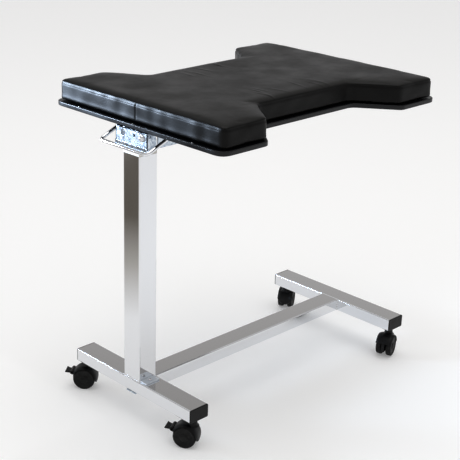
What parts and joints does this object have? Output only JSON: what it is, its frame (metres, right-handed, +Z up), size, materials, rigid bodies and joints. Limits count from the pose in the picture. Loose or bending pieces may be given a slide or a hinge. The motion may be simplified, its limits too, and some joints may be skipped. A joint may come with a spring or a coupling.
{
  "type": "overbed procedure table",
  "caption": "Height-adjustable overbed table: padded hourglass top on a chromed offset column, wheeled base and under-top release bail.",
  "frame": {"origin": "on the floor, under the middle of the object's bounding box", "axes": "+Z up; +X from the column's foot to the far foot, the way the top reaches out over a bed; +Y to the left of a person at the column who looks along +X"},
  "size_m": [0.753, 0.512, 0.708],
  "materials": {
    "chrome_tube": "polished chrome plate",
    "zinc_plate": "zinc plate with a mottled, slightly blue sheen",
    "steel_hardware": "bright plated hardware",
    "black_plastic": "moulded black plastic",
    "caster_plastic": "moulded black nylon, satin",
    "wheel_nylon": "hard black tread, dull from floor wear",
    "guide_bush": "natural acetal",
    "board_laminate": "black laminate with a satin edge",
    "pad_vinyl": "black upholstery vinyl over foam, fine grain, satin",
    "hook_tape": "black hook-and-loop tape"
  },
  "bodies": {
    "base": {"column_foot": "chrome_tube", "far_foot": "chrome_tube", "column_foot_left_plug": "black_plastic", "column_foot_right_plug": "black_plastic", "far_foot_left_plug": "black_plastic", "far_foot_right_plug": "black_plastic", "column_foot_left_socket": "black_plastic", "column_foot_right_socket": "black_plastic", "far_foot_left_socket": "black_plastic", "far_foot_right_socket": "black_plastic", "spine_bar": "chrome_tube", "column_tube": "chrome_tube", "upper_guide_bush": "guide_bush", "gas_spring_body": "steel_hardware", "gas_spring_bolt": "steel_hardware", "bolt_plate": "zinc_plate", "column_tab": "chrome_tube", "column_tab_screw": "steel_hardware"},
    "top": {"inner_tube": "chrome_tube", "lower_guide_bush": "guide_bush", "gas_spring_rod": "chrome_tube", "board": "board_laminate", "pad": "pad_vinyl", "hook_tape_near": "hook_tape", "hook_tape_far": "hook_tape", "top_bracket": "zinc_plate", "bracket_bolt": "chrome_tube", "left_rail": "zinc_plate", "right_rail": "zinc_plate", "left_rail_front_screw": "steel_hardware", "left_rail_rear_screw": "steel_hardware", "right_rail_front_screw": "steel_hardware", "right_rail_rear_screw": "steel_hardware", "rocker_pivot_pin": "steel_hardware"},
    "release": {"release_bail": "chrome_tube", "release_cam": "zinc_plate"},
    "rocker": {"release_rocker": "zinc_plate"},
    "pin": {"release_pin": "steel_hardware"},
    "column_left_caster": {"column_left_caster_stem": "steel_hardware", "column_left_caster_hood": "caster_plastic", "column_left_caster_axle": "steel_hardware"},
    "column_left_caster_wheel_a": {"column_left_caster_wheel_a": "wheel_nylon"},
    "column_left_caster_wheel_b": {"column_left_caster_wheel_b": "wheel_nylon"},
    "column_left_caster_pedal": {"column_left_caster_pedal": "caster_plastic"},
    "column_right_caster": {"column_right_caster_stem": "steel_hardware", "column_right_caster_hood": "caster_plastic", "column_right_caster_axle": "steel_hardware"},
    "column_right_caster_wheel_a": {"column_right_caster_wheel_a": "wheel_nylon"},
    "column_right_caster_wheel_b": {"column_right_caster_wheel_b": "wheel_nylon"},
    "column_right_caster_pedal": {"column_right_caster_pedal": "caster_plastic"},
    "far_left_caster": {"far_left_caster_stem": "steel_hardware", "far_left_caster_hood": "caster_plastic", "far_left_caster_axle": "steel_hardware"},
    "far_left_caster_wheel_a": {"far_left_caster_wheel_a": "wheel_nylon"},
    "far_left_caster_wheel_b": {"far_left_caster_wheel_b": "wheel_nylon"},
    "far_right_caster": {"far_right_caster_stem": "steel_hardware", "far_right_caster_hood": "caster_plastic", "far_right_caster_axle": "steel_hardware"},
    "far_right_caster_wheel_a": {"far_right_caster_wheel_a": "wheel_nylon"},
    "far_right_caster_wheel_b": {"far_right_caster_wheel_b": "wheel_nylon"}
  },
  "joints": [
    {"name": "height_slide", "type": "slide", "parent": "base", "child": "top", "axis": [0, 0, 1], "range_m": [0, 0.38]},
    {"name": "bail_hinge", "type": "hinge", "parent": "top", "child": "release", "pos_m": [-0.31392, 0, 0.643], "axis": [0, 1, 0], "range_deg": [0, 22]},
    {"name": "rocker_hinge", "type": "hinge", "parent": "top", "child": "rocker", "pos_m": [-0.33702, 0, 0.6278], "axis": [0, 1, 0], "range_deg": [0, 5]},
    {"name": "pin_slide", "type": "slide", "parent": "top", "child": "pin", "axis": [0, 0, -1], "range_m": [0, 0.0011]},
    {"name": "column_left_swivel", "type": "hinge", "parent": "base", "child": "column_left_caster", "pos_m": [-0.32602, 0.17, 0.06], "axis": [0, 0, 1], "continuous": true},
    {"name": "column_left_wheel_a_spin", "type": "hinge", "parent": "column_left_caster", "child": "column_left_caster_wheel_a", "pos_m": [-0.33502, 0.18072, 0.025], "axis": [-0.766, -0.6428, 0], "continuous": true},
    {"name": "column_left_wheel_b_spin", "type": "hinge", "parent": "column_left_caster", "child": "column_left_caster_wheel_b", "pos_m": [-0.33502, 0.18072, 0.025], "axis": [-0.766, -0.6428, 0], "continuous": true},
    {"name": "column_left_pedal_hinge", "type": "hinge", "parent": "column_left_caster", "child": "column_left_caster_pedal", "pos_m": [-0.35302, 0.20217, 0.038], "axis": [-0.766, -0.6428, 0], "range_deg": [0, 18]},
    {"name": "column_right_swivel", "type": "hinge", "parent": "base", "child": "column_right_caster", "pos_m": [-0.32602, -0.17, 0.06], "axis": [0, 0, 1], "continuous": true},
    {"name": "column_right_wheel_a_spin", "type": "hinge", "parent": "column_right_caster", "child": "column_right_caster_wheel_a", "pos_m": [-0.33302, -0.15788, 0.025], "axis": [-0.866, -0.5, 0], "continuous": true},
    {"name": "column_right_wheel_b_spin", "type": "hinge", "parent": "column_right_caster", "child": "column_right_caster_wheel_b", "pos_m": [-0.33302, -0.15788, 0.025], "axis": [-0.866, -0.5, 0], "continuous": true},
    {"name": "column_right_pedal_hinge", "type": "hinge", "parent": "column_right_caster", "child": "column_right_caster_pedal", "pos_m": [-0.34702, -0.13363, 0.038], "axis": [-0.866, -0.5, 0], "range_deg": [0, 18]},
    {"name": "far_left_swivel", "type": "hinge", "parent": "base", "child": "far_left_caster", "pos_m": [0.33098, 0.17, 0.06], "axis": [0, 0, 1], "continuous": true},
    {"name": "far_left_wheel_a_spin", "type": "hinge", "parent": "far_left_caster", "child": "far_left_caster_wheel_a", "pos_m": [0.3431, 0.177, 0.025], "axis": [-0.5, 0.866, 0], "continuous": true},
    {"name": "far_left_wheel_b_spin", "type": "hinge", "parent": "far_left_caster", "child": "far_left_caster_wheel_b", "pos_m": [0.3431, 0.177, 0.025], "axis": [-0.5, 0.866, 0], "continuous": true},
    {"name": "far_right_swivel", "type": "hinge", "parent": "base", "child": "far_right_caster", "pos_m": [0.33098, -0.17, 0.06], "axis": [0, 0, 1], "continuous": true},
    {"name": "far_right_wheel_a_spin", "type": "hinge", "parent": "far_right_caster", "child": "far_right_caster_wheel_a", "pos_m": [0.31782, -0.17479, 0.025], "axis": [0.342, -0.9397, 0], "continuous": true},
    {"name": "far_right_wheel_b_spin", "type": "hinge", "parent": "far_right_caster", "child": "far_right_caster_wheel_b", "pos_m": [0.31782, -0.17479, 0.025], "axis": [0.342, -0.9397, 0], "continuous": true}
  ],
  "couplings": [
    {"joint": "rocker_hinge", "follows": "bail_hinge", "ratio": 0.22},
    {"joint": "pin_slide", "follows": "bail_hinge", "m_per_rad": 0.00264}
  ]
}
